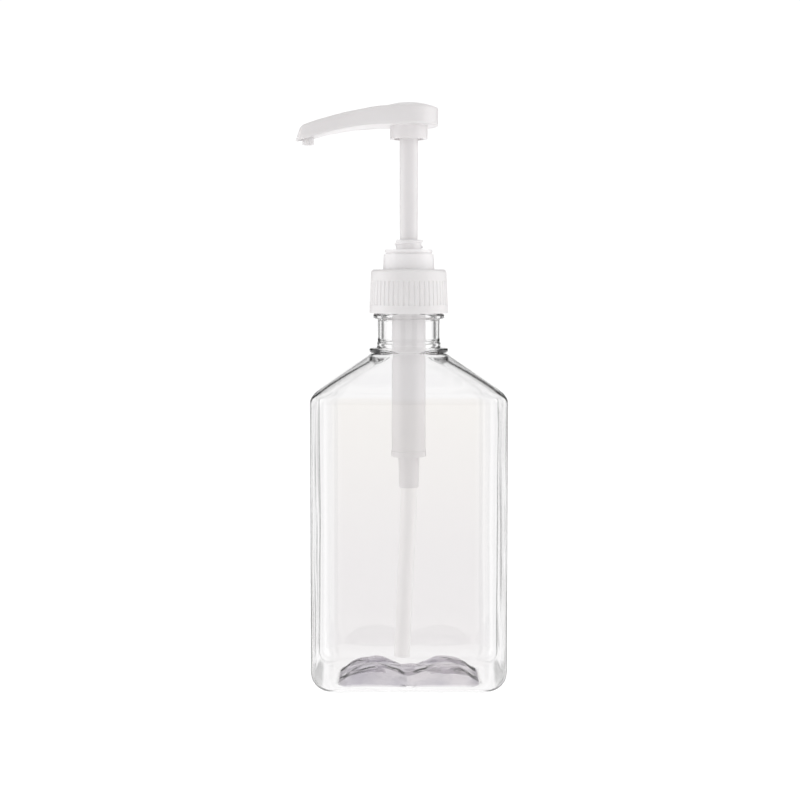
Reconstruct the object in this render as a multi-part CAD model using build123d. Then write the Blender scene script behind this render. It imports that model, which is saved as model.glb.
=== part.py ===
from build123d import *
import os
from math import atan, cos, degrees, pi, radians, sin, sqrt, tan

# Condiment pump dispenser: a clear flask-shaped bottle with a long-spout lock-down pump.
# Millimetres. The origin is the centre of the standing face, +Z is up, the wide face looks
# along -Y and the spout points along -X. The plunger is modelled in its raised position.

# ---- bottle ----
BODY_W = 95.0  # width across the shoulders, along X
BODY_D = 64.0  # depth, along Y
CORNER_R = 12.5  # vertical corners
HEEL_R = 9.0  # heel round between the side walls and the base
WALL = 0.8  # blown wall of the body
SHOULDER_Z = 139.5  # where the straight sides end
SHOULDER_EDGE_Z = 144.8  # upper end of the rounded shoulder edge
SHOULDER_EDGE_IN = (2.9, 1.7)  # how far that edge has come in, along X and Y
NECK_ROOT_Z = 163.4  # where the shoulder meets the neck
NECK_R = 15.35
NECK_BORE_R = 13.75
NECK_TOP_Z = 199.5
RING_R = 19.45  # handling ring under the closure
RING_Z = (163.0, 165.0)
BEAD_R = 17.5  # tamper bead
BEAD_Z = (179.6, 182.0)
PUSHUP_RISE = 6.2  # hollow under the base
PUSHUP_LOW = (70.0, 39.0, 8.0)  # width, depth and corner of the hollow at the standing face
PUSHUP_HIGH = (40.0, 22.0, 8.0)  # the same at its roof
GATE_R = 7.5  # flat disc around the moulding gate

# ---- neck thread, right-handed, shared by bottle and closure ----
THREAD_PITCH = 4.2333  # six turns to the inch
THREAD_Z = 189.6  # middle of the bottle ridge where it starts
BOTTLE_TURNS = 1.25
CLOSURE_TURNS = 1.0
THREAD_DROP = 1.75  # the closure's ridge runs this far below the bottle's
BOTTLE_CREST_R = 16.5
CLOSURE_CREST_R = 15.7
RIDGE_ROOT_W = 2.2
RIDGE_CREST_W = 1.4

# ---- closure ----
CLOSURE_Z = (182.2, 203.6)
CLOSURE_R = (19.4, 18.5)  # bottom and top outside radius
CLOSURE_EDGE_R = 1.8
CLOSURE_BORE_R = 16.75
CLOSURE_ROOF_Z = 202.0  # underside of the roof
CLOSURE_HOLE_R = 10.1
GRIP_Z = (186.2, 198.0)
GRIP_RIBS = 48
GRIP_DEPTH = 0.32
GRIP_GROOVE_R = 0.75

# ---- gasket and pump cylinder ----
GASKET_Z = (199.5, 200.7)
GASKET_R = (11.45, 15.5)
CYL_BORE_R = 7.15
CYL_R = 8.25
CYL_FOOT_Z = 111.5
CYL_BAND_R = 8.55  # thicker band around the foot
CYL_BAND_TOP_Z = 114.0
CYL_FLOOR_Z = 113.0
CYL_FLOOR_HOLE_R = 5.0
CUP_BORE_R = 9.8  # wide cup at the top, which takes the collar's barrel
CUP_R = 11.3
CUP_Z = 187.5
CUP_TAPER = 3.5
FLANGE_R = 15.3
FLANGE_Z = (200.7, 201.9)
VENT_R = 0.75
VENT_Z = 180.0

# ---- inlet valve ----
VALVE_FOOT_Z = 96.1
VALVE_R = (4.75, 5.2)  # outside radius at the foot and under the cylinder
SOCKET_R = 4.0
SOCKET_TOP_Z = 103.5
INLET_SEAT_Z = 104.6
INLET_THROAT_R = 2.2
INLET_CHAMBER_R = 3.8
INLET_SEAT_SLOPE = 0.8  # radius gained for each millimetre of height
INLET_BALL_R = 3.175
VALVE_FLANGE_Z = (113.0, 114.2)
CAGE_Z = (112.3, 116.0)
CAGE_R = 7.0
CAGE_BOSS_R = 3.7
CAGE_HOLE_R = 2.0
CAGE_SLOTS = 3

# ---- dip tube ----
TUBE_R = 3.95
TUBE_BORE_R = 2.95
TUBE_TOP_Z = 103.4
TUBE_BEND_Z = 96.0  # straight above this height
TUBE_BEND_LENGTH = 14.0
TUBE_LEAN = radians(2.4)  # towards -X below the bend
TUBE_TIP_Z = 11.4

# ---- return spring ----
WIRE_R = 0.6
COIL_R = 5.5
COIL_TURNS = 12.5
SPRING_GAP = 0.03

# ---- lock collar, guide and wiper ----
COLLAR_FOOT_Z = 189.0
COLLAR_BARREL_R = 9.75
COLLAR_BORE_R = 7.45
COLLAR_SEAT_Z = 203.65  # the turret rests on the closure here
COLLAR_R = (12.6, 12.3)
COLLAR_STEP_Z = 211.0
COLLAR_GROOVE_R = 11.3
COLLAR_GROOVE_TOP_Z = 212.0
COLLAR_RIM_R = 11.8
COLLAR_TOP_Z = 213.3
COLLAR_POCKET_Z = 205.9  # top of the wiper's pocket
COLLAR_CORE_R = (10.3, 11.4)  # moulding recess in the turret's underside
COLLAR_CORE_TOP_Z = 209.6
BOSS_R = 6.25
BOSS_TOP_Z = 218.1
STEM_HOLE_R = 4.6
GUIDE_Z = (190.1, 202.9)
GUIDE_R = 7.4
WIPER_Z = (203.0, 205.8)
WIPER_R = (4.5, 7.35)

# ---- lock-down thread between the collar's boss and the head's skirt ----
LOCK_PITCH = 3.0
LOCK_TURNS = 1.0
LOCK_BOSS_Z = 214.5
LOCK_BOSS_CREST_R = 6.95
LOCK_SKIRT_Z = 268.4
LOCK_SKIRT_CREST_R = 6.6
LOCK_ROOT_W = 1.5
LOCK_CREST_W = 0.8

# ---- plunger ----
PISTON_Z = (182.5, 190.0)
PISTON_R = 7.1  # sealing lips
PISTON_WAIST_R = 6.6
PISTON_BORE_R = 3.7
ROD_FOOT_Z = 180.5
ROD_CLIP_TOP_Z = 182.4
ROD_CLIP_R = 4.4
ROD_R = 3.6
ROD_SHOULDER_Z = 190.1
ROD_NECK_R = 4.2
ROD_NECK_TOP_Z = 196.0
ROD_PLUG_R = 3.05
ROD_TOP_Z = 200.5
ROD_BORE_R = 1.8
OUTLET_SEAT_Z = 199.2
OUTLET_SEAT_SLOPE = 0.615
OUTLET_BALL_R = 2.5
STEM_Z = (196.05, 276.0)
STEM_R = (4.2, 4.45)  # lower and upper outside radius
STEM_BORE_R = 3.1
OUTLET_CAGE_Z = (206.5, 208.5)
OUTLET_PIN_Z = 205.3
OUTLET_PIN_R = 0.8
OUTLET_HOLES = 3

# ---- head ----
HUB_R = 14.3
HUB_Z = (273.4, 282.4)
HUB_TOP_Z = 285.0
HUB_EDGE = 0.8  # small bevel between the hub's side and its dome
HEAD_WALL = 1.6
SPOUT_TOP = [(-11.0, 282.4), (-20.0, 281.5), (-31.0, 279.6), (-43.3, 276.6), (-50.4, 274.4)]
SPOUT_BOTTOM = [(-46.6, 268.0), (-37.6, 270.4), (-26.8, 272.3), (-14.0, 273.4)]
NOSE_TOP = (-53.2, 272.4)
NOSE_TIP = (-55.6, 266.2)
NOSE_R = 5.2  # half width at the nose, in plan
FLOOR_T = 1.6  # thickness of the head base's floor
FIT = 0.06  # gap between the head's two mouldings
SKIRT_Z = (267.2, 274.0)
SKIRT_R = 9.15
SKIRT_BORE_R = 7.35
STEM_SOCKET_FOOT_Z = 267.8
STEM_SOCKET_R = 5.9
STEM_SOCKET_BORE_R = 4.5
STEM_STOP_Z = 276.1
OUTLET_X = -49.3
OUTLET_R = 2.75
OUTLET_BORE_R = 1.9
OUTLET_Z = (264.4, 270.4)


def turned(points):
    """A solid of revolution about Z from (radius, height) points, taken in order."""
    outline = Polyline([(r, z) for r, z in points], close=True)
    return revolve(Plane.XZ * make_face(outline), Axis.Z, 360)


def pipe(outer, inner, low, high):
    """A plain hollow cylinder about Z."""
    return turned([(inner, low), (outer, low), (outer, high), (inner, high)])


def rod(radius, low, high, x=0.0, y=0.0):
    """A plain solid cylinder parallel to Z."""
    return Pos(x, y, low) * extrude(Circle(radius), high - low)


def helical_ridge(root_r, crest_r, root_w, crest_w, pitch, turns, z):
    """A right-handed thread ridge that starts on the +X side at height z."""
    path = Helix(pitch, pitch * turns, root_r, center=(0, 0, z))
    corners = [(root_r, -root_w / 2), (crest_r, -crest_w / 2), (crest_r, crest_w / 2)]
    corners = corners + [(root_r, root_w / 2)]
    section = Plane.XZ * make_face(Polyline([(r, z + h) for r, h in corners], close=True))
    return sweep(section, path, is_frenet=True)


def rounded(width, depth, corner, z):
    return Pos(0, 0, z) * RectangleRounded(width, depth, corner)


def flask(inset, foot_z, heel, neck_r):
    """The bottle's body up to the neck, drawn inset all round by the given amount."""
    width = BODY_W - 2 * inset
    depth = BODY_D - 2 * inset
    corner = CORNER_R - inset
    drop = inset * 1.2
    body = extrude(rounded(width, depth, corner, foot_z), SHOULDER_Z - foot_z)
    body = fillet(body.faces().sort_by(Axis.Z)[0].edges(), heel)
    in_x, in_y = SHOULDER_EDGE_IN
    edge = rounded(width - 2 * in_x, depth - 2 * in_y, corner - 1.0, SHOULDER_EDGE_Z - drop)
    bend = loft([rounded(width, depth, corner, SHOULDER_Z), edge], ruled=True)
    neck = Pos(0, 0, NECK_ROOT_Z - drop) * Circle(neck_r)
    return body + bend + loft([edge, neck], ruled=True)


def pushup(grow):
    """The hollow under the base, grown by the wall for the inside of the bottle."""
    low_w, low_d, low_r = PUSHUP_LOW
    high_w, high_d, high_r = PUSHUP_HIGH
    low = rounded(low_w + 2 * grow, low_d + 2 * grow, low_r + grow, 0)
    high = rounded(high_w + 2 * grow, high_d + 2 * grow, high_r + grow, PUSHUP_RISE + grow)
    return loft([low, high], ruled=True)


def bottle():
    shell = flask(0, 0, HEEL_R, NECK_R) + rod(NECK_R, NECK_ROOT_Z - 1, NECK_TOP_Z)
    shell = shell + rod(RING_R, *RING_Z) + rod(BEAD_R, *BEAD_Z)
    shell = shell + helical_ridge(NECK_R - 0.2, BOTTLE_CREST_R, RIDGE_ROOT_W, RIDGE_CREST_W,
                                  THREAD_PITCH, BOTTLE_TURNS, THREAD_Z)
    hollow = flask(WALL, WALL, HEEL_R - WALL, NECK_BORE_R) - pushup(WALL)
    hollow = hollow - rod(GATE_R, 0, PUSHUP_RISE + 2 * WALL)
    hollow = hollow + rod(NECK_BORE_R, NECK_ROOT_Z - 4, NECK_TOP_Z + 1)
    return shell - pushup(0) - hollow


def closure():
    foot_z, top_z = CLOSURE_Z
    foot_r, top_r = CLOSURE_R
    cap = turned([(0, foot_z), (foot_r, foot_z), (top_r, top_z), (0, top_z)])
    cap = fillet(cap.edges().sort_by(Axis.Z)[-1], CLOSURE_EDGE_R)
    lean = (foot_r - top_r) / (top_z - foot_z)
    middle_z = (GRIP_Z[0] + GRIP_Z[1]) / 2
    radius = foot_r - lean * (middle_z - foot_z) + GRIP_GROOVE_R - GRIP_DEPTH
    groove = Cylinder(GRIP_GROOVE_R, GRIP_Z[1] - GRIP_Z[0])
    groove = Pos(radius, 0, middle_z) * Rot(0, -degrees(atan(lean)), 0) * groove
    for index in range(GRIP_RIBS):
        cap = cap - Rot(0, 0, 360 * index / GRIP_RIBS) * groove
    cap = cap - rod(CLOSURE_BORE_R, foot_z - 1, CLOSURE_ROOF_Z)
    cap = cap - rod(CLOSURE_HOLE_R, foot_z, top_z + 1)
    ridge = helical_ridge(CLOSURE_BORE_R + 0.2, CLOSURE_CREST_R, RIDGE_ROOT_W - 0.4,
                          RIDGE_CREST_W - 0.2, THREAD_PITCH, CLOSURE_TURNS,
                          THREAD_Z - THREAD_DROP)
    return cap + ridge


def neck_gasket():
    return pipe(GASKET_R[1], GASKET_R[0], *GASKET_Z)


def pump_cylinder():
    body = turned([
        (CYL_FLOOR_HOLE_R, CYL_FOOT_Z), (CYL_BAND_R, CYL_FOOT_Z),
        (CYL_BAND_R, CYL_BAND_TOP_Z), (CYL_R, CYL_BAND_TOP_Z + 0.4),
        (CYL_R, CUP_Z - CUP_TAPER), (CUP_R, CUP_Z), (CUP_R, FLANGE_Z[0]),
        (FLANGE_R, FLANGE_Z[0]), (FLANGE_R, FLANGE_Z[1]), (CUP_BORE_R, FLANGE_Z[1]),
        (CUP_BORE_R, CUP_Z + 1.0), (CYL_BORE_R, CUP_Z - CUP_TAPER + 1.5),
        (CYL_BORE_R, CYL_FLOOR_Z), (CYL_FLOOR_HOLE_R, CYL_FLOOR_Z)])
    vent = Pos(0, CYL_R, VENT_Z) * Rot(90, 0, 0) * Cylinder(VENT_R, 4.0)
    return body - vent


def inlet_valve_body():
    seat_top = INLET_SEAT_Z + (INLET_CHAMBER_R - INLET_THROAT_R) / INLET_SEAT_SLOPE
    spigot_r = CYL_FLOOR_HOLE_R - 0.05
    flange_r = CYL_BORE_R - 0.1
    return turned([
        (SOCKET_R, VALVE_FOOT_Z), (VALVE_R[0], VALVE_FOOT_Z), (VALVE_R[1], CYL_FOOT_Z),
        (spigot_r, CYL_FOOT_Z), (spigot_r, VALVE_FLANGE_Z[0]), (flange_r, VALVE_FLANGE_Z[0]),
        (flange_r, VALVE_FLANGE_Z[1]), (INLET_CHAMBER_R, VALVE_FLANGE_Z[1]),
        (INLET_CHAMBER_R, seat_top), (INLET_THROAT_R, INLET_SEAT_Z),
        (INLET_THROAT_R, SOCKET_TOP_Z), (SOCKET_R, SOCKET_TOP_Z)])


def seated_ball_z(radius, seat_z, seat_r, slope):
    """Height of a ball's centre when it rests in a conical seat, with a hair of clearance."""
    slant = sqrt(1 + slope ** 2)
    return seat_z + (radius * slant - seat_r) / slope + 0.03


def inlet_ball():
    z = seated_ball_z(INLET_BALL_R, INLET_SEAT_Z, INLET_THROAT_R, INLET_SEAT_SLOPE)
    return Pos(0, 0, z) * Sphere(INLET_BALL_R)


def ball_cage():
    foot_z, top_z = CAGE_Z
    rim_z = VALVE_FLANGE_Z[1]
    cage = turned([(CAGE_HOLE_R, foot_z), (CAGE_BOSS_R, foot_z), (CAGE_BOSS_R, rim_z),
                   (CAGE_R, rim_z), (CAGE_R, top_z), (CAGE_HOLE_R, top_z)])
    for index in range(CAGE_SLOTS):
        slot = Pos(0, 0, foot_z) * extrude(Pos(1.7, 0) * Rectangle(3.4, 1.3), top_z - foot_z)
        cage = cage - Rot(0, 0, 360 * index / CAGE_SLOTS) * slot
    return cage


def dip_tube():
    """Straight in its socket, then a slight bend, then straight and leaning to the tip."""
    bend_foot_z = TUBE_BEND_Z - TUBE_BEND_LENGTH
    bend_x = -TUBE_BEND_LENGTH * tan(TUBE_LEAN / 2)
    tip_x = bend_x - (bend_foot_z - TUBE_TIP_Z) * tan(TUBE_LEAN)
    straight = Line((0, 0, TUBE_TOP_Z), (0, 0, TUBE_BEND_Z))
    bend = TangentArc(straight @ 1, (bend_x, 0, bend_foot_z), tangent=(0, 0, -1))
    leaning = Line(bend @ 1, (tip_x, 0, TUBE_TIP_Z))
    wall = Circle(TUBE_R) - Circle(TUBE_BORE_R)
    return sweep(Pos(0, 0, TUBE_TOP_Z) * wall, straight + bend + leaning)


def return_spring():
    low = CAGE_Z[1] + WIRE_R + SPRING_GAP
    high = PISTON_Z[0] - WIRE_R - SPRING_GAP
    path = Helix((high - low) / COIL_TURNS, high - low, COIL_R, center=(0, 0, low))
    section = Plane(origin=path @ 0, z_dir=path % 0) * Circle(WIRE_R)
    return sweep(section, path, is_frenet=True)


def lock_collar():
    collar = turned([
        (COLLAR_BORE_R, COLLAR_FOOT_Z), (COLLAR_BARREL_R - 0.5, COLLAR_FOOT_Z),
        (COLLAR_BARREL_R, COLLAR_FOOT_Z + 1.0), (COLLAR_BARREL_R, COLLAR_SEAT_Z),
        (COLLAR_CORE_R[0], COLLAR_SEAT_Z), (COLLAR_CORE_R[0], COLLAR_CORE_TOP_Z),
        (COLLAR_CORE_R[1], COLLAR_CORE_TOP_Z), (COLLAR_CORE_R[1], COLLAR_SEAT_Z),
        (COLLAR_R[0], COLLAR_SEAT_Z), (COLLAR_R[1], COLLAR_STEP_Z),
        (COLLAR_GROOVE_R, COLLAR_STEP_Z), (COLLAR_GROOVE_R, COLLAR_GROOVE_TOP_Z),
        (COLLAR_RIM_R, COLLAR_GROOVE_TOP_Z), (COLLAR_RIM_R - 0.2, COLLAR_TOP_Z),
        (BOSS_R, COLLAR_TOP_Z), (BOSS_R, BOSS_TOP_Z - 0.4), (BOSS_R - 0.4, BOSS_TOP_Z),
        (STEM_HOLE_R, BOSS_TOP_Z), (STEM_HOLE_R, COLLAR_POCKET_Z),
        (COLLAR_BORE_R, COLLAR_POCKET_Z)])
    ridge = helical_ridge(BOSS_R - 0.2, LOCK_BOSS_CREST_R, LOCK_ROOT_W, LOCK_CREST_W,
                          LOCK_PITCH, LOCK_TURNS, LOCK_BOSS_Z)
    return collar + ridge


def stem_guide():
    return pipe(GUIDE_R, STEM_HOLE_R, *GUIDE_Z)


def stem_wiper():
    low, high = WIPER_Z
    inner, outer = WIPER_R
    return turned([(inner + 0.6, low), (outer, low), (outer, high), (inner, high),
                   (inner, high - 0.8), (inner + 0.5, high - 1.3), (inner + 0.5, low + 0.6)])


def piston():
    low, high = PISTON_Z
    return turned([
        (PISTON_BORE_R, low), (PISTON_WAIST_R - 0.4, low), (PISTON_R, low + 0.6),
        (PISTON_R, low + 1.6), (PISTON_WAIST_R, low + 2.4), (PISTON_WAIST_R, high - 2.4),
        (PISTON_R, high - 1.6), (PISTON_R, high - 0.6), (PISTON_WAIST_R - 0.4, high),
        (PISTON_BORE_R, high)])


def piston_rod():
    seat_r = ROD_BORE_R + (ROD_TOP_Z - OUTLET_SEAT_Z) * OUTLET_SEAT_SLOPE
    return turned([
        (ROD_BORE_R, ROD_FOOT_Z), (ROD_CLIP_R - 0.5, ROD_FOOT_Z),
        (ROD_CLIP_R, ROD_CLIP_TOP_Z - 0.4), (ROD_CLIP_R, ROD_CLIP_TOP_Z),
        (ROD_R, ROD_CLIP_TOP_Z), (ROD_R, ROD_SHOULDER_Z), (ROD_NECK_R, ROD_SHOULDER_Z),
        (ROD_NECK_R, ROD_NECK_TOP_Z), (ROD_PLUG_R, ROD_NECK_TOP_Z), (ROD_PLUG_R, ROD_TOP_Z),
        (seat_r, ROD_TOP_Z), (ROD_BORE_R, OUTLET_SEAT_Z)])


def outlet_ball():
    z = seated_ball_z(OUTLET_BALL_R, OUTLET_SEAT_Z, ROD_BORE_R, OUTLET_SEAT_SLOPE)
    return Pos(0, 0, z) * Sphere(OUTLET_BALL_R)


def outlet_valve_cage():
    low, high = OUTLET_CAGE_Z
    cage = rod(STEM_BORE_R - 0.05, low, high) + rod(OUTLET_PIN_R, OUTLET_PIN_Z, low)
    for index in range(OUTLET_HOLES):
        angle = 2 * pi * index / OUTLET_HOLES
        cage = cage - rod(0.75, low - 0.5, high + 0.5, 1.8 * cos(angle), 1.8 * sin(angle))
    return cage


def stem():
    low, high = STEM_Z
    return turned([(STEM_BORE_R, low), (STEM_R[0], low), (STEM_R[1], high - 40),
                   (STEM_R[1], high), (STEM_BORE_R, high)])


def side_on(outline):
    """A shape drawn in X and Z, given thickness far past the head on both sides in Y."""
    return extrude(Plane.XZ * make_face(outline), 20, both=True)


def head_profile(inset):
    """Side view of the head without its dome; inset draws the inside, open underneath."""
    back = HUB_R - inset
    roof = Line((back, HUB_Z[1] - inset), (SPOUT_TOP[0][0], HUB_Z[1] - inset))
    top = Spline([(x, z - inset) for x, z in SPOUT_TOP], tangents=[(-1, 0), (-0.94, -0.34)])
    nose_top = (NOSE_TOP[0] + inset, NOSE_TOP[1] - inset / 2)
    nose = TangentArc(top @ 1, nose_top, tangent=top % 1)
    tip = (NOSE_TIP[0] + inset, NOSE_TIP[1])
    front = roof + top + nose + Line(nose @ 1, tip)
    if inset:
        return side_on(front + Polyline(tip, (tip[0], 255), (back, 255), roof @ 0))
    under = Line(tip, SPOUT_BOTTOM[0]) + Spline(SPOUT_BOTTOM, tangents=[(0.96, 0.28), (1, 0)])
    return side_on(front + under + Polyline(SPOUT_BOTTOM[-1], (back, HUB_Z[0]), roof @ 0))


def head_plan(inset):
    """Plan view of the head: hub and round nose joined by straight tangent sides."""
    hub_r, nose_r = HUB_R - inset, NOSE_R - inset
    nose_x = NOSE_TIP[0] + NOSE_R
    lean = (nose_r - hub_r) / nose_x
    spread = sqrt(1 - lean ** 2)
    hub_x, hub_y = -hub_r * lean, hub_r * spread
    end_x, end_y = nose_x - nose_r * lean, nose_r * spread
    sides = Line((hub_x, hub_y), (end_x, end_y)) + Line((end_x, -end_y), (hub_x, -hub_y))
    nose = ThreePointArc((end_x, end_y), (nose_x - nose_r, 0), (end_x, -end_y))
    back = ThreePointArc((hub_x, -hub_y), (hub_r, 0), (hub_x, hub_y))
    return Pos(0, 0, 250) * extrude(make_face(sides + nose + back), 50)


def dome(inset):
    """The shallow crown on the hub; inset draws its inside."""
    low, crown = HUB_Z[1] - inset, HUB_TOP_Z - inset
    radius = HUB_R - HUB_EDGE - inset
    rise = crown - low
    dome_r = (radius ** 2 + rise ** 2) / (2 * rise)
    half_way = (radius / 2, crown - dome_r + sqrt(dome_r ** 2 - radius ** 2 / 4))
    side = Polyline((0, crown), (0, low - 1), (radius, low - 1), (radius, low))
    arc = ThreePointArc((radius, low), half_way, (0, crown))
    return revolve(Plane.XZ * make_face(side + arc), Axis.Z, 360)


def head_cover():
    outside = (head_profile(0) & head_plan(0)) + dome(0)
    inside = (head_profile(HEAD_WALL) & head_plan(HEAD_WALL)) + dome(HEAD_WALL)
    return outside - inside


def head_base():
    """Floor of the hub and spout, with skirt, stem socket and outlet tube."""
    high = [(x, z + FLOOR_T) for x, z in SPOUT_BOTTOM]
    under = Spline(SPOUT_BOTTOM, tangents=[(0.96, 0.28), (1, 0)])
    over = Spline(high, tangents=[(0.96, 0.28), (1, 0)])
    back = Polyline(under @ 1, (HUB_R, HUB_Z[0]), (HUB_R, HUB_Z[0] + FLOOR_T), over @ 1)
    band = side_on(under + over + back + Line(under @ 0, over @ 0))
    floor = band & head_plan(HEAD_WALL + FIT)
    floor = floor + rod(SKIRT_R, *SKIRT_Z) - rod(SKIRT_BORE_R, SKIRT_Z[0], HUB_Z[0])
    socket = rod(STEM_SOCKET_R, STEM_SOCKET_FOOT_Z, STEM_STOP_Z + 1.2)
    ridge = helical_ridge(SKIRT_BORE_R + 0.2, LOCK_SKIRT_CREST_R, LOCK_ROOT_W, LOCK_CREST_W,
                          LOCK_PITCH, LOCK_TURNS, LOCK_SKIRT_Z)
    base = floor + socket + ridge + rod(OUTLET_R, *OUTLET_Z, OUTLET_X)
    base = base - rod(STEM_SOCKET_BORE_R, 260, STEM_STOP_Z) - rod(STEM_BORE_R, 260, 290)
    return base - rod(OUTLET_BORE_R, 260, 290, OUTLET_X)


PIECES = {
    "bottle": bottle,
    "closure": closure,
    "neck_gasket": neck_gasket,
    "pump_cylinder": pump_cylinder,
    "inlet_valve_body": inlet_valve_body,
    "inlet_ball": inlet_ball,
    "ball_cage": ball_cage,
    "dip_tube": dip_tube,
    "return_spring": return_spring,
    "lock_collar": lock_collar,
    "stem_guide": stem_guide,
    "stem_wiper": stem_wiper,
    "piston": piston,
    "piston_rod": piston_rod,
    "outlet_ball": outlet_ball,
    "outlet_valve_cage": outlet_valve_cage,
    "stem": stem,
    "head_cover": head_cover,
    "head_base": head_base,
}

for name, make in PIECES.items():
    export_step(make(), f"parts/{name}.step")
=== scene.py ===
from math import asin, atan2, cos, exp, hypot, pi, radians, sin, sqrt, tan
import bmesh
import bpy
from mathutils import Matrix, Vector, noise


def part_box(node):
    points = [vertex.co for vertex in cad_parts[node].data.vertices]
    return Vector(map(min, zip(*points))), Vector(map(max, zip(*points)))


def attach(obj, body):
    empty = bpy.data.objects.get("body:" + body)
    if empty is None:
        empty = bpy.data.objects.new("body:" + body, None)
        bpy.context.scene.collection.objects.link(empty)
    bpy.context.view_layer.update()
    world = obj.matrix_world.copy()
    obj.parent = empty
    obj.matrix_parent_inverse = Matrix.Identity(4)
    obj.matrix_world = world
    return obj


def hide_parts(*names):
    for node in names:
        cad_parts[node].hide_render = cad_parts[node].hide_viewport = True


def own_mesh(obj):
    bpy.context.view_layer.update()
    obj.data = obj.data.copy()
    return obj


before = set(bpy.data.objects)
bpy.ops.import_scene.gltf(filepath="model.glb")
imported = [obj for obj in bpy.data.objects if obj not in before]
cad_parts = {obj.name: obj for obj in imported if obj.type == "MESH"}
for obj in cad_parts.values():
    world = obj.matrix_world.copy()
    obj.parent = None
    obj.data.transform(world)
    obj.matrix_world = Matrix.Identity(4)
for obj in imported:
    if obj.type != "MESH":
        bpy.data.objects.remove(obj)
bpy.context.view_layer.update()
MM = 0.001


# ---------------------------------------------------------------- materials

def new_material(name):
    """A node material with its shader and output, and the object's own coordinates in metres."""
    mat = bpy.data.materials.new(name)
    mat.use_nodes = True
    nodes, links = mat.node_tree.nodes, mat.node_tree.links
    shader = nodes["Principled BSDF"]
    coords = nodes.new("ShaderNodeTexCoord")
    return mat, nodes, links, shader, coords


def add_noise(nodes, links, coords, scale, detail=3.0, stretch=(1, 1, 1)):
    """Fractal noise over the object's coordinates."""
    mapping = nodes.new("ShaderNodeMapping")
    mapping.inputs["Scale"].default_value = stretch
    links.new(coords.outputs["Object"], mapping.inputs["Vector"])
    texture = nodes.new("ShaderNodeTexNoise")
    texture.inputs["Scale"].default_value = scale
    texture.inputs["Detail"].default_value = detail
    links.new(mapping.outputs["Vector"], texture.inputs["Vector"])
    return texture


def add_ramp(nodes, links, source, stops):
    """A colour ramp through (position, colour) stops."""
    ramp = nodes.new("ShaderNodeValToRGB")
    elements = ramp.color_ramp.elements
    while len(elements) < len(stops):
        elements.new(0.5)
    for element, (position, colour) in zip(elements, stops):
        element.position = position
        element.color = (*colour, 1)
    links.new(source, ramp.inputs["Fac"])
    return ramp


def add_bump(nodes, links, shader, height, strength, distance):
    bump = nodes.new("ShaderNodeBump")
    bump.inputs["Strength"].default_value = strength
    bump.inputs["Distance"].default_value = distance
    links.new(height, bump.inputs["Height"])
    links.new(bump.outputs["Normal"], shader.inputs["Normal"])


def moulded_plastic(name, light, dark, roughness, glow=0.12, texture=0.12):
    """Satin injection-moulded polypropylene: faint clouding, fine mould texture, slight depth."""
    mat, nodes, links, shader, coords = new_material(name)
    clouds = add_noise(nodes, links, coords, 60)
    ramp = add_ramp(nodes, links, clouds.outputs["Fac"], [(0.3, dark), (0.7, light)])
    links.new(ramp.outputs["Color"], shader.inputs["Base Color"])
    grain = add_noise(nodes, links, coords, 2600, detail=2.0)
    add_bump(nodes, links, shader, grain.outputs["Fac"], texture, 0.00004)
    gloss = nodes.new("ShaderNodeMapRange")
    gloss.inputs["To Min"].default_value = roughness - 0.05
    gloss.inputs["To Max"].default_value = roughness + 0.07
    links.new(clouds.outputs["Fac"], gloss.inputs["Value"])
    links.new(gloss.outputs["Result"], shader.inputs["Roughness"])
    shader.inputs["IOR"].default_value = 1.49
    shader.inputs["Subsurface Weight"].default_value = glow
    shader.inputs["Subsurface Radius"].default_value = (0.0022, 0.0020, 0.0019)
    shader.inputs["Subsurface Scale"].default_value = 1.0
    return mat


def milky_plastic(name, light, dark, roughness, clarity, painted_glow):
    """Natural, unpigmented plastic that lets some light through, with a faint painted glow."""
    mat = moulded_plastic(name, light, dark, roughness, glow=0.0, texture=0.06)
    shader = mat.node_tree.nodes["Principled BSDF"]
    shader.inputs["Transmission Weight"].default_value = clarity
    # Painted glow: a faint emission that lightens these parts as if more light reached them.
    shader.inputs["Emission Color"].default_value = (1.0, 0.985, 0.98, 1)
    shader.inputs["Emission Strength"].default_value = painted_glow
    return mat


def polished_steel(name, roughness, scratch):
    mat, nodes, links, shader, coords = new_material(name)
    shader.inputs["Base Color"].default_value = (0.62, 0.62, 0.63, 1)
    shader.inputs["Metallic"].default_value = 1.0
    lines = add_noise(nodes, links, coords, 900, stretch=(1, 1, 0.1))
    spread = nodes.new("ShaderNodeMapRange")
    spread.inputs["To Min"].default_value = roughness
    spread.inputs["To Max"].default_value = roughness + scratch
    links.new(lines.outputs["Fac"], spread.inputs["Value"])
    links.new(spread.outputs["Result"], shader.inputs["Roughness"])
    return mat


def add_range(nodes, links, source, low, high):
    """Where a value lies between two others, from 0 to 1, with soft ends."""
    reach = nodes.new("ShaderNodeMapRange")
    reach.interpolation_type = "SMOOTHSTEP"
    reach.inputs["From Min"].default_value = low
    reach.inputs["From Max"].default_value = high
    links.new(source, reach.inputs["Value"])
    return reach.outputs["Result"]


def add_math(nodes, links, operation, first, second=None):
    step = nodes.new("ShaderNodeMath")
    step.operation = operation
    links.new(first, step.inputs[0])
    if second is not None:
        links.new(second, step.inputs[1])
    return step.outputs["Value"]


def blown_pet(name, ripple):
    """Clear blown PET with faint waves in its wall; its colour is linked by the caller."""
    mat, nodes, links, shader, coords = new_material(name)
    shader.inputs["Transmission Weight"].default_value = 1.0
    shader.inputs["Roughness"].default_value = 0.012
    shader.inputs["IOR"].default_value = 1.57
    ripples = add_noise(nodes, links, coords, 40, detail=1.0, stretch=(1, 1, 0.3))
    add_bump(nodes, links, shader, ripples.outputs["Fac"], ripple, 0.0008)
    return mat, nodes, links, shader, coords


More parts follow.
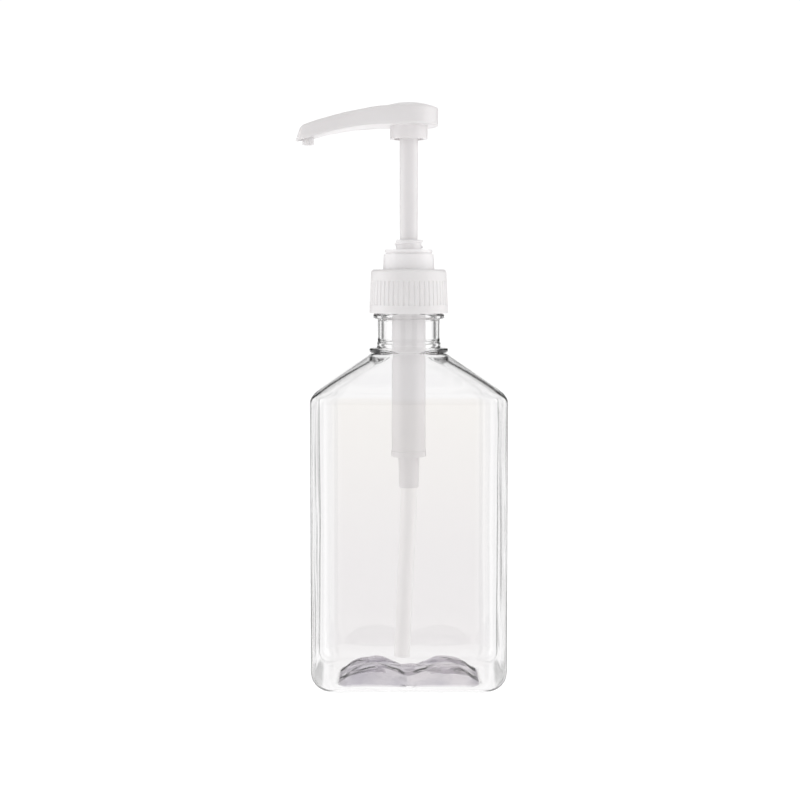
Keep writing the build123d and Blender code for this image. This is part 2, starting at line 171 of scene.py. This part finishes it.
def clear_pet(name):
    """The bottle's wall, faintly grey over the wide panels below the shoulder."""
    mat, nodes, links, shader, coords = blown_pet(name, 0.05)
    split = nodes.new("ShaderNodeSeparateXYZ")
    links.new(coords.outputs["Object"], split.inputs["Vector"])
    height = nodes.new("ShaderNodeMapRange")
    height.inputs["From Max"].default_value = 0.2
    links.new(split.outputs["Z"], height.inputs["Value"])
    panel = add_ramp(nodes, links, height.outputs["Result"], [
        (0.02, CLEAR_TINT), (0.05, LOW_TINT), (0.3, LOW_TINT), (0.70, HIGH_TINT),
        (0.715, CLEAR_TINT)])
    away = add_math(nodes, links, "ABSOLUTE", split.outputs["X"])
    side = add_range(nodes, links, away, 0.033, 0.041)
    mix = nodes.new("ShaderNodeMix")
    mix.data_type = "RGBA"
    mix.inputs[7].default_value = (*CLEAR_TINT, 1)
    links.new(side, mix.inputs[0])
    links.new(panel.outputs["Color"], mix.inputs[6])
    links.new(mix.outputs[2], shader.inputs["Base Color"])
    return mat


def base_pet_with_painted_reflection(name):
    """The thick base, darker violet-grey: partly the thick resin's own tone, partly a painted
    reflection.
    """
    mat, nodes, links, shader, coords = blown_pet(name, 0.12)
    clouds = add_noise(nodes, links, coords, 55)
    # Painted reflection: the darker violet-grey clouding stands in for the reflection seen in the
    # base.
    ramp = add_ramp(nodes, links, clouds.outputs["Fac"], [(0.35, (0.50, 0.475, 0.53)),
                                                        (0.65, (0.70, 0.67, 0.70))])
    links.new(ramp.outputs["Color"], shader.inputs["Base Color"])
    return mat


LOW_TINT = (0.915, 0.903, 0.905)
HIGH_TINT = (0.955, 0.943, 0.93)
CLEAR_TINT = (0.985, 0.982, 0.983)
WHITE = moulded_plastic("white_pp", (0.785, 0.762, 0.766), (0.765, 0.742, 0.746), 0.34)
# The collar's copy of the white polypropylene is painted lighter than white_pp, to stand in for
# light on it.
LIT_COLLAR_WHITE = moulded_plastic("white_pp_collar_painted_light", (0.90, 0.88, 0.885), (0.88, 0.86, 0.865), 0.34)
CAP_WHITE = moulded_plastic("white_ribbed_cap", (0.805, 0.787, 0.789), (0.78, 0.762, 0.764), 0.38)
# The last number of each milky material is its painted glow.
NATURAL = milky_plastic("natural_pp", (0.755, 0.735, 0.74), (0.715, 0.695, 0.70), 0.3, 0.05, 0.02)
TUBE = milky_plastic("dip_tube_pe", (0.90, 0.885, 0.88), (0.87, 0.855, 0.85), 0.36, 0.12, 0.04)
SEAL = moulded_plastic("soft_seal", (0.78, 0.77, 0.765), (0.74, 0.73, 0.725), 0.55, glow=0.2)
BALL_STEEL = polished_steel("steel_ball", 0.06, 0.04)
WIRE_STEEL = polished_steel("spring_wire", 0.22, 0.12)
PET = clear_pet("clear_pet")
BASE_PET_WITH_PAINTED_REFLECTION = base_pet_with_painted_reflection("clear_pet_base_painted_reflection")

NODE_MATERIALS = {
    "closure": CAP_WHITE,
    "neck_gasket": SEAL,
    "pump_cylinder": NATURAL,
    "inlet_valve_body": NATURAL,
    "inlet_ball": BALL_STEEL,
    "ball_cage": NATURAL,
    "dip_tube": TUBE,
    "lock_collar": LIT_COLLAR_WHITE,
    "stem_guide": WHITE,
    "stem_wiper": SEAL,
    "piston": SEAL,
    "piston_rod": WHITE,
    "outlet_ball": BALL_STEEL,
    "outlet_valve_cage": NATURAL,
    "stem": WHITE,
    "head_base": WHITE,
    "return_spring": WIRE_STEEL,
}


def paint_frame():
    for node, material in NODE_MATERIALS.items():
        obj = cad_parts[node]
        for place in obj.material_slots:
            place.material = material


# ---------------------------------------------------------------- mesh helpers

def make_object(name, points, faces, material, smooth=True):
    """A mesh object from points in millimetres."""
    mesh = bpy.data.meshes.new(name)
    mesh.from_pydata([Vector(p) * MM for p in points], [], faces)
    mesh.validate()
    mesh.update()
    obj = bpy.data.objects.new(name, mesh)
    bpy.context.scene.collection.objects.link(obj)
    mesh.materials.append(material)
    if smooth:
        mesh.polygons.foreach_set("use_smooth", [True] * len(mesh.polygons))
    return obj


def skin(rings, closed=False):
    """Quads between rings of equal length; closed joins the last ring to the first."""
    count = len(rings[0])
    points = [point for ring in rings for point in ring]
    faces = []
    pairs = len(rings) if closed else len(rings) - 1
    for row in range(pairs):
        low, high = row * count, (row + 1) % len(rings) * count
        for column in range(count):
            after = (column + 1) % count
            faces.append((low + column, low + after, high + after, high + column))
    return points, faces


# ---------------------------------------------------------------- bottle

BODY_W, BODY_D, CORNER_R = 95.0, 64.0, 12.5
HEEL_R = 9.0
WALL, NECK_WALL, FOOT_WALL = 0.8, 1.6, 1.3
NECK_R, RIM_Z = 15.35, 199.5
SHOULDER_CORNER = 8.0
SHOULDER_LOW, SHOULDER_HIGH = 143.0, 164.4  # where the shoulder's slope meets side and neck
RING_R, RING_MID_Z, RING_HALF = 19.45, 164.0, 1.0
BEAD_R, BEAD_Z = 17.5, (179.6, 182.0)
THREAD_PITCH, THREAD_Z, THREAD_TURNS, THREAD_CREST = 4.2333, 189.6, 1.25, 1.15
RIM_COLUMNS = 288
FOOT_W, FOOT_D, FOOT_CORNER = 70.0, 39.0, 8.0  # outline of the hollow under the base
PUSHUP, GATE_R = 6.2, 7.5
LOBE_X, LOBE_Y, LOBE_RISE, TROUGH = 21.0, 7.5, 2.6, 3.2
FOOT_TOP = 14.0  # everything lower and inside the foot's outline is the hollow's wall
WAVE = 0.09  # how far the blown wall varies in thickness


def box_ray(angle, half_w, half_d, corner):
    """Where a ray from the centre meets a rounded rectangle."""
    c, s = cos(angle), sin(angle)
    reach = min(half_w / max(abs(c), 1e-9), half_d / max(abs(s), 1e-9))
    cx, cy = half_w - corner, half_d - corner
    if reach * abs(c) > cx and reach * abs(s) > cy:
        along = abs(c) * cx + abs(s) * cy
        reach = along + sqrt(max(along ** 2 - cx ** 2 - cy ** 2 + corner ** 2, 0.0))
    return reach * c, reach * s


def even_angles(count):
    """Angles at which rays meet the body's outline at equal steps along it."""
    fine = 7200
    outline = [box_ray(2 * pi * i / fine, BODY_W / 2, BODY_D / 2, CORNER_R)
               for i in range(fine + 1)]
    lengths = [0.0]
    for (x0, y0), (x1, y1) in zip(outline, outline[1:]):
        lengths.append(lengths[-1] + hypot(x1 - x0, y1 - y0))
    angles, index = [], 0
    for step in range(count):
        target = lengths[-1] * step / count
        while lengths[index + 1] < target:
            index += 1
        part = (target - lengths[index]) / (lengths[index + 1] - lengths[index])
        angles.append(2 * pi * (index + part) / fine)
    return angles


ANGLES = even_angles(RIM_COLUMNS)


def bezier(p0, p1, p2, t):
    return tuple((1 - t) ** 2 * a + 2 * t * (1 - t) * b + t ** 2 * c
                 for a, b, c in zip(p0, p1, p2))


def shoulder_stations():
    """(height, share of the body's spread beyond the neck) up the shoulder."""
    slope = 1 / (SHOULDER_HIGH - SHOULDER_LOW)
    low_start, low_end = (SHOULDER_LOW - 3.6, 1.0), (SHOULDER_LOW + 3.0, 1 - 3.0 * slope)
    high_start = (SHOULDER_HIGH - 3.2, 3.2 * slope)
    stations = [bezier(low_start, (SHOULDER_LOW, 1.0), low_end, i / 10) for i in range(11)]
    for i in range(1, 12):
        t = i / 12
        stations.append((low_end[0] + (high_start[0] - low_end[0]) * t,
                         low_end[1] + (high_start[1] - low_end[1]) * t))
    high_end = (SHOULDER_HIGH + 1.2, 0.0)
    for i in range(7):
        stations.append(bezier(high_start, (SHOULDER_HIGH, 0.0), high_end, i / 6))
    return stations


def body_ring(z, spread, inset=0.0):
    """A ring between the body's rounded rectangle (spread 1) and the neck's circle (0)."""
    half_w = NECK_R + (BODY_W / 2 - NECK_R) * spread - inset
    half_d = NECK_R + (BODY_D / 2 - NECK_R) * spread - inset
    tight = SHOULDER_CORNER + (CORNER_R - SHOULDER_CORNER) * spread ** 3
    round_r = tight + (NECK_R - SHOULDER_CORNER) * (1 - spread) ** 7 - inset
    ring = []
    for angle in ANGLES:
        x, y = box_ray(angle, half_w, half_d, round_r)
        ring.append((x, y, z))
    return ring


def foot_height(x, y, share):
    """Height of the moulded hollow under the base: a hill with four lobes and a gate disc."""
    hill = PUSHUP * (1 - share ** 3)
    lobes = 0.0
    for lobe_x in (-LOBE_X, LOBE_X):
        for lobe_y in (-LOBE_Y, LOBE_Y):
            away = ((x - lobe_x) / 11) ** 2 + ((y - lobe_y) / 7) ** 2
            lobes += LOBE_RISE * exp(-away * away)
    trough = TROUGH * exp(-(x / 6.5) ** 2) * min(1.0, (y / 9) ** 2)
    gate = 0.6 * exp(-((x * x + y * y) / GATE_R ** 2) ** 3)
    fade = min(1.0, (1 - share) / 0.18)
    facets = 0.55 * noise.noise(Vector((x * 0.16, y * 0.2, 3.0)))
    return max(hill + fade * (lobes - trough - gate + facets), 0.0)


def foot_ring(share, lift):
    """A ring of the hollow under the base, from its middle (0) to the standing face (1)."""
    round_r = FOOT_CORNER + (FOOT_D / 2 - FOOT_CORNER) * (1 - share)
    ring = []
    for angle in ANGLES:
        x, y = box_ray(angle, FOOT_W / 2, FOOT_D / 2, round_r)
        ring.append((x * share, y * share, foot_height(x * share, y * share, share) + lift))
    return ring


def heel_ring(turn, inset):
    """A ring of the heel's round, from under the base (0) to the side wall (1)."""
    radius = HEEL_R - inset
    back = radius * (1 - sin(turn * pi / 2))
    z = inset + radius * (1 - cos(turn * pi / 2))
    half_w, half_d = BODY_W / 2 - inset - back, BODY_D / 2 - inset - back
    corner = max(CORNER_R - inset - back, 0.6)
    return [(*box_ray(angle, half_w, half_d, corner), z) for angle in ANGLES]


def round_ring(radius, z):
    return [(radius * cos(angle), radius * sin(angle), z) for angle in ANGLES]


def thread_ring(z):
    """A ring of the neck's outside, standing out where the thread ridge passes."""
    ring = []
    for angle in ANGLES:
        rise = 0.0
        for turn in range(2):
            turns = angle / (2 * pi) + turn
            if turns > THREAD_TURNS:
                continue
            off = abs(z - (THREAD_Z + THREAD_PITCH * turns))
            start = min(1.0, turns / 0.06, (THREAD_TURNS - turns) / 0.06)
            ridge = 1.0 if off < 0.7 else max(0.0, 1 - (off - 0.7) / 0.4)
            rise = max(rise, ridge * start)
        radius = NECK_R + THREAD_CREST * rise
        ring.append((radius * cos(angle), radius * sin(angle), z))
    return ring


def bottle_outside():
    rings = [foot_ring(share / 48, 0.0) for share in range(1, 49)]
    rings += [heel_ring(turn / 12, 0.0) for turn in range(13)]
    rings += [body_ring(HEEL_R + (SHOULDER_LOW - 3.6 - HEEL_R) * i / 24, 1.0)
              for i in range(1, 24)]
    rings += [body_ring(z, spread) for z, spread in shoulder_stations()]
    ring_low, ring_high = RING_MID_Z - RING_HALF, RING_MID_Z + RING_HALF
    edge = RING_R - 0.35
    rings = [ring for ring in rings if ring[0][2] < ring_low - 0.1 or len(rings) < 3]
    rings += [round_ring(NECK_R + 1.0, ring_low - 0.02), round_ring(edge, ring_low),
              round_ring(RING_R - 0.08, ring_low + 0.3), round_ring(RING_R, RING_MID_Z),
              round_ring(RING_R - 0.08, ring_high - 0.3), round_ring(edge, ring_high),
              round_ring(NECK_R + 0.7, ring_high + 0.05), round_ring(NECK_R + 0.2, ring_high + 0.5)]
    rings += [round_ring(NECK_R + 0.4, 165.8), round_ring(NECK_R + 0.4, 167.4),
              round_ring(NECK_R + 0.25, 167.75), round_ring(NECK_R, 167.9)]
    rings += [round_ring(NECK_R, z) for z in (170, 174, 178, BEAD_Z[0] - 0.5)]
    rings += [round_ring(NECK_R + 0.15, BEAD_Z[0] - 0.15), round_ring(BEAD_R - 0.3, BEAD_Z[0]),
              round_ring(BEAD_R, BEAD_Z[0] + 0.4), round_ring(BEAD_R - 0.1, BEAD_Z[1] - 0.6),
              round_ring(BEAD_R - 0.7, BEAD_Z[1]), round_ring(NECK_R + 0.3, BEAD_Z[1] + 0.1),
              round_ring(NECK_R, BEAD_Z[1] + 0.6)]
    rings += [thread_ring(185.5 + 0.25 * i) for i in range(48)]
    rings += [round_ring(NECK_R, RIM_Z - 0.4), round_ring(NECK_R - 0.12, RIM_Z - 0.12),
              round_ring(NECK_R - 0.4, RIM_Z)]
    return rings


def wavy(ring):
    """The inner wall of a blown body, a little thicker here and there."""
    waved = []
    for x, y, z in ring:
        fade = min(1.0, (z - HEEL_R) / 8, (SHOULDER_LOW - 3.6 - z) / 8)
        push = WAVE * fade * noise.noise(Vector((x * 0.09, y * 0.09, z * 0.03)))
        reach = 1 - push / hypot(x, y)
        waved.append((x * reach, y * reach, z))
    return waved


def bottle_inside():
    bore = NECK_R - NECK_WALL
    rings = [round_ring(bore + 0.4, RIM_Z), round_ring(bore + 0.12, RIM_Z - 0.12),
             round_ring(bore, RIM_Z - 0.4)]
    rings += [round_ring(bore, z) for z in (194, 188, 182, 178, 172, 167)]
    stations = [s for s in reversed(shoulder_stations())]
    for z, spread in stations:
        wall = WALL + (NECK_WALL - WALL) * (1 - spread) ** 2
        rings.append(body_ring(z - wall * 1.15 * (1 - abs(2 * spread - 1) ** 8), spread, wall))
    rings += [wavy(body_ring(HEEL_R + (SHOULDER_LOW - 3.6 - HEEL_R) * i / 60, 1.0, WALL))
              for i in range(59, 0, -1)]
    rings += [heel_ring(turn / 12, WALL) for turn in range(12, -1, -1)]
    rings += [foot_ring(share / 48, FOOT_WALL) for share in range(48, 0, -1)]
    return rings


def make_bottle():
    outside, inside = bottle_outside(), bottle_inside()
    points, faces = skin(outside + inside)
    nub = len(points)
    points.append((0, 0, foot_height(0, 0, 0)))
    count = len(ANGLES)
    faces += [(nub, (i + 1) % count, i) for i in range(count)]
    top = len(points)
    points.append((0, 0, foot_height(0, 0, 0) + FOOT_WALL))
    last = top - 1 - count
    faces += [(top, last + i, last + (i + 1) % count) for i in range(count)]
    shell = make_object("bottle_shell", points, faces, PET)
    shell.data.materials.append(BASE_PET_WITH_PAINTED_REFLECTION)
    # The hollow's wall takes the base material, with its painted reflection.
    for face in shell.data.polygons:
        x, y, z = (value / MM for value in face.center)
        if z < FOOT_TOP and abs(x) < FOOT_W / 2 - 1 and abs(y) < FOOT_D / 2 - 1:
            face.material_index = 1
    return shell


# ---------------------------------------------------------------- head

HUB_R, NOSE_R, NOSE_X = 14.3, 5.2, -50.4
HUB_FOOT, HUB_RIM, CROWN, DOME_R = 273.4, 282.4, 285.0, 13.6
ROOF_LINE = [(-8, 282.4), (-14, 282.25), (-20, 281.5), (-31, 279.6), (-43.3, 276.6),
             (-50.4, 274.4), (-52.0, 273.55), (-53.2, 272.2), (-55.6, 266.4), (-57, 263.0)]
UNDER_LINE = [(-57, 265.9), (-55.6, 266.2), (-46.6, 268.0), (-37.6, 270.4), (-26.8, 272.3),
              (-19.0, 273.1), (-14.0, 273.4), (0, 273.4)]
HEAD_WALL, HEAD_EDGE = 1.6, (0.9, 2.4)  # wall, and edge round at the hub and on the spout


def on_line(line, x):
    """Height of a smooth line through (x, z) points."""
    line = sorted(line)
    if x >= line[-1][0]:
        return line[-1][1]
    index = max(1, next(i for i, (px, pz) in enumerate(line) if px > x))
    (x0, z0), (x1, z1) = line[index - 1], line[index]
    before, after = line[max(index - 2, 0)], line[min(index + 1, len(line) - 1)]
    slope0 = (z1 - before[1]) / (x1 - before[0])
    slope1 = (after[1] - z0) / (after[0] - x0)
    t, span = (x - x0) / (x1 - x0), x1 - x0
    return ((2 * t ** 3 - 3 * t ** 2 + 1) * z0 + (t ** 3 - 2 * t ** 2 + t) * span * slope0
            + (3 * t ** 2 - 2 * t ** 3) * z1 + (t ** 3 - t ** 2) * span * slope1)


def head_outline():
    """(x, y, spine x) round the head's plan: hub, tangent side, nose and the other side."""
    lean = (HUB_R - NOSE_R) / -NOSE_X
    open_angle = pi / 2 + asin(lean)
    half = []
    for i in range(45):
        angle = open_angle * i / 44
        half.append((HUB_R * cos(angle), HUB_R * sin(angle), 0.0, cos(angle), sin(angle)))
    for i in range(1, 41):
        share = i / 41
        radius = HUB_R + (NOSE_R - HUB_R) * share
        centre = NOSE_X * share
        c, s = cos(open_angle), sin(open_angle)
        half.append((centre + radius * c, radius * s, centre, c, s))
    for i in range(25):
        angle = open_angle + (pi - open_angle) * i / 24
        c, s = cos(angle), sin(angle)
        half.append((NOSE_X + NOSE_R * c, NOSE_R * s, NOSE_X, c, s))
    other = [(x, -y, centre, c, -s) for x, y, centre, c, s in half[-2:0:-1]]
    return half + other


def roof(x, y, depth, inset):
    """Height of the head's top, with its round edge, its dome and an inset for its inside."""
    spout = min(1.0, max(0.0, (-x - 10) / 14))
    edge = HEAD_EDGE[0] + (HEAD_EDGE[1] - HEAD_EDGE[0]) * spout
    lost = edge - sqrt(edge ** 2 - (edge - depth) ** 2) if depth < edge else 0.0
    z = on_line(ROOF_LINE, x) - inset
    distance = hypot(x, y)
    if distance < DOME_R:
        sphere = (DOME_R ** 2 + (CROWN - HUB_RIM) ** 2) / (2 * (CROWN - HUB_RIM))
        cap = CROWN - sphere + sqrt(sphere ** 2 - distance ** 2) - inset
        z = max(z, cap)
    return z - lost


def head_surface(outline, inset):
    """Rings from the foot of the side wall up and over the roof to the spine."""
    edge_steps = [0, 0.04, 0.12, 0.25, 0.42, 0.65, 0.9, 1.2, 1.6, 2.0, 2.4, 3.0]
    rings = []
    for level in range(7):
        ring = []
        for x, y, centre, c, s in outline:
            px, py = x - inset * c, y - inset * s
            foot = on_line(UNDER_LINE, px)
            top = max(roof(px, py, 0, inset), foot + 0.05)
            ring.append((px, py, foot + (top - foot) * level / 6))
        rings.append(ring)
    for step in edge_steps[1:] + [3.0 + 0.5 * i for i in range(1, 25)]:
        ring = []
        for x, y, centre, c, s in outline:
            reach = hypot(x - centre, y) - inset
            depth = min(step, reach) if step <= 3.0 else 3.0 + (step - 3.0) / 12 * (reach - 3.0)
            depth = min(depth, reach)
            px, py = x - (inset + depth) * c, y - (inset + depth) * s
            foot = on_line(UNDER_LINE, px)
            ring.append((px, py, max(roof(px, py, depth, inset), foot + 0.05)))
        rings.append(ring)
    return rings


def make_head():
    """The head's cover: hub, dome and spout as one open-bottomed shell."""
    outline = head_outline()
    outer, inner = head_surface(outline, 0.0), head_surface(outline, HEAD_WALL)
    points, faces = skin(list(reversed(inner)) + outer)
    obj = make_object("head_shell", points, faces, WHITE)
    edit = bmesh.new()
    edit.from_mesh(obj.data)
    bmesh.ops.remove_doubles(edit, verts=edit.verts, dist=0.00002)
    bmesh.ops.recalc_face_normals(edit, faces=edit.faces)
    edit.to_mesh(obj.data)
    edit.free()
    return obj


# ---------------------------------------------------------------- return spring

def make_spring():
    """The compression spring, with a closed coil at each end."""
    low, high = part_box("return_spring")
    wire, coil_r, turns = 0.6, 5.5, 13.0
    foot, top = low.z / MM + wire, high.z / MM - wire
    dead = 1.0
    steps, sides = 60, 12
    total = int(turns * steps)
    path = []
    for i in range(total + 1):
        turn = turns * i / total
        live = min(max(turn - dead, 0), turns - 2 * dead)
        rest = turn - live
        share = (live / (turns - 2 * dead)) * (top - foot - 2 * dead * 2.05 * wire)
        path.append((turn * 2 * pi, foot + share + rest * 2.05 * wire))
    rings = []
    for angle, z in path:
        ring = []
        for side in range(sides):
            around = 2 * pi * side / sides
            radius = coil_r + wire * cos(around)
            ring.append((radius * cos(angle), radius * sin(angle), z + wire * sin(around)))
        rings.append(ring)
    points, faces = skin(rings)
    faces += [tuple(range(sides - 1, -1, -1)),
              tuple(range(len(points) - sides, len(points)))]
    return make_object("spring_coil", points, faces, WIRE_STEEL)


# ---------------------------------------------------------------- stage

def make_floor():
    size = 6.0
    corners = [(-size, -size, 0), (size, -size, 0), (size, size, 0), (-size, size, 0)]
    floor = make_object("floor", [Vector(c) / MM for c in corners], [(0, 1, 2, 3)], None, False)
    mat, nodes, links, shader, coords = new_material("floor")
    tone = add_noise(nodes, links, coords, 1.5)
    ramp = add_ramp(nodes, links, tone.outputs["Fac"], [(0.3, (0.94,) * 3), (0.7, (0.95,) * 3)])
    links.new(ramp.outputs["Color"], shader.inputs["Base Color"])
    shader.inputs["Roughness"].default_value = 0.9
    shader.inputs["Emission Color"].default_value = (1, 1, 1, 1)
    shader.inputs["Emission Strength"].default_value = 0.35
    floor.data.materials[0] = mat
    floor.visible_transmission = False


def studio_level(nodes, links, coords):
    """Brightness for lighting and reflections, by degrees away from straight behind."""
    centred = nodes.new("ShaderNodeMapping")
    centred.inputs["Location"].default_value = (0, 0, 0.02)
    centred.inputs["Scale"].default_value = (1, 1, 0.22)
    links.new(coords.outputs["Generated"], centred.inputs["Vector"])
    aim = nodes.new("ShaderNodeVectorMath")
    aim.operation = "NORMALIZE"
    links.new(centred.outputs["Vector"], aim.inputs[0])
    split = nodes.new("ShaderNodeSeparateXYZ")
    links.new(aim.outputs["Vector"], split.inputs["Vector"])
    angle = add_math(nodes, links, "ARCCOSINE", split.outputs["Y"])
    turn = nodes.new("ShaderNodeMapRange")
    turn.inputs["From Max"].default_value = pi
    links.new(angle, turn.inputs["Value"])
    ramp = add_ramp(nodes, links, turn.outputs["Result"], [
        (degrees_off / 180, (level,) * 3) for degrees_off, level in STUDIO])
    return ramp.outputs["Color"]


def cosine_around(nodes, links, around, repeats):
    """A wave round the horizon, at its top straight behind the bottle."""
    times = nodes.new("ShaderNodeMath")
    times.operation = "MULTIPLY"
    times.inputs[1].default_value = repeats
    links.new(around, times.inputs[0])
    return add_math(nodes, links, "COSINE", times.outputs["Value"])


def card_level(nodes, links, coords):
    """What shows through clear plastic: white, with eight upright dark cards all round."""
    split = nodes.new("ShaderNodeSeparateXYZ")
    links.new(coords.outputs["Generated"], split.inputs["Vector"])
    around = add_math(nodes, links, "ARCTAN2", split.outputs["X"], split.outputs["Y"])
    side = nodes.new("ShaderNodeMapRange")
    side.inputs["From Min"].default_value = 0.3
    side.inputs["From Max"].default_value = -0.3
    side.inputs["To Min"].default_value = BACK_CARD
    side.inputs["To Max"].default_value = SIDE_CARD
    links.new(cosine_around(nodes, links, around, 2), side.inputs["Value"])
    cards = nodes.new("ShaderNodeMapRange")
    cards.inputs["From Min"].default_value = -0.45
    cards.inputs["From Max"].default_value = 0.05
    links.new(side.outputs["Result"], cards.inputs["To Min"])
    links.new(cosine_around(nodes, links, around, CARDS), cards.inputs["Value"])
    return cards.outputs["Result"]


def light_world():
    """A white backdrop, soft boxes at the sides, a dimmer front, and cards for the glass."""
    world = bpy.data.worlds.new("studio")
    bpy.context.scene.world = world
    world.use_nodes = True
    nodes, links = world.node_tree.nodes, world.node_tree.links
    nodes.clear()
    coords = nodes.new("ShaderNodeTexCoord")
    path = nodes.new("ShaderNodeLightPath")
    studio = nodes.new("ShaderNodeBackground")
    studio.inputs["Strength"].default_value = 1.25
    links.new(studio_level(nodes, links, coords), studio.inputs["Color"])
    cards = nodes.new("ShaderNodeBackground")
    cards.inputs["Color"].default_value = (1, 1, 1, 1)
    links.new(card_level(nodes, links, coords), cards.inputs["Strength"])
    backdrop = nodes.new("ShaderNodeBackground")
    backdrop.inputs["Color"].default_value = (1, 1, 1, 1)
    backdrop.inputs["Strength"].default_value = 1.05
    through = nodes.new("ShaderNodeMixShader")
    links.new(path.outputs["Is Transmission Ray"], through.inputs["Fac"])
    links.new(studio.outputs["Background"], through.inputs[1])
    links.new(cards.outputs["Background"], through.inputs[2])
    seen = nodes.new("ShaderNodeMixShader")
    links.new(path.outputs["Is Camera Ray"], seen.inputs["Fac"])
    links.new(through.outputs["Shader"], seen.inputs[1])
    links.new(backdrop.outputs["Background"], seen.inputs[2])
    output = nodes.new("ShaderNodeOutputWorld")
    links.new(seen.outputs["Shader"], output.inputs["Surface"])


CARDS = 8
BACK_CARD, SIDE_CARD = 0.015, 0.45  # brightness of the cards behind, and of those at the sides
# brightness of the studio by degrees away from straight behind the bottle
STUDIO = [(0, 0.84), (12, 0.84), (19, 0.35), (24, 0.02), (41, 0.02), (50, 0.7), (62, 1.0),
          (105, 0.95), (130, 0.5), (180, 0.45)]


def soft_light(name, place, aim, size, power):
    data = bpy.data.lights.new(name, "AREA")
    data.shape = "RECTANGLE"
    data.size, data.size_y = size
    data.energy = power
    light = bpy.data.objects.new(name, data)
    light.location = place
    light.rotation_euler = (Vector(aim) - Vector(place)).to_track_quat("-Z", "Y").to_euler()
    bpy.context.scene.collection.objects.link(light)


def make_camera():
    """At the height of the head, looking slightly down, as the picture was taken."""
    data = bpy.data.cameras.new("camera")
    data.lens = 61.8
    data.sensor_width = 36.0
    data.shift_y = -0.068
    data.clip_end = 50
    camera = bpy.data.objects.new("camera", data)
    camera.location = (-0.0043, -0.676, 0.2)
    camera.rotation_euler = (radians(90 - 2.87), 0, 0)
    bpy.context.scene.collection.objects.link(camera)
    bpy.context.scene.camera = camera


make_camera()
paint_frame()

bottle = make_bottle()
bottle.visible_shadow = False
bottle.visible_diffuse = False
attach(bottle, "bottle_body")
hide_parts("bottle")

head = make_head()
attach(head, "plunger")
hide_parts("head_cover")

spring = make_spring()
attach(spring, "pump_body")
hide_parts("return_spring")
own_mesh(spring)

make_floor()
light_world()
soft_light("right_box", (0.8, -0.15, 0.45), (0, 0, 0.15), (0.4, 0.8), 0.9)
soft_light("left_box", (-0.8, -0.15, 0.45), (0, 0, 0.2), (0.4, 0.8), 0.7)
bpy.context.scene.view_settings.view_transform = "Standard"
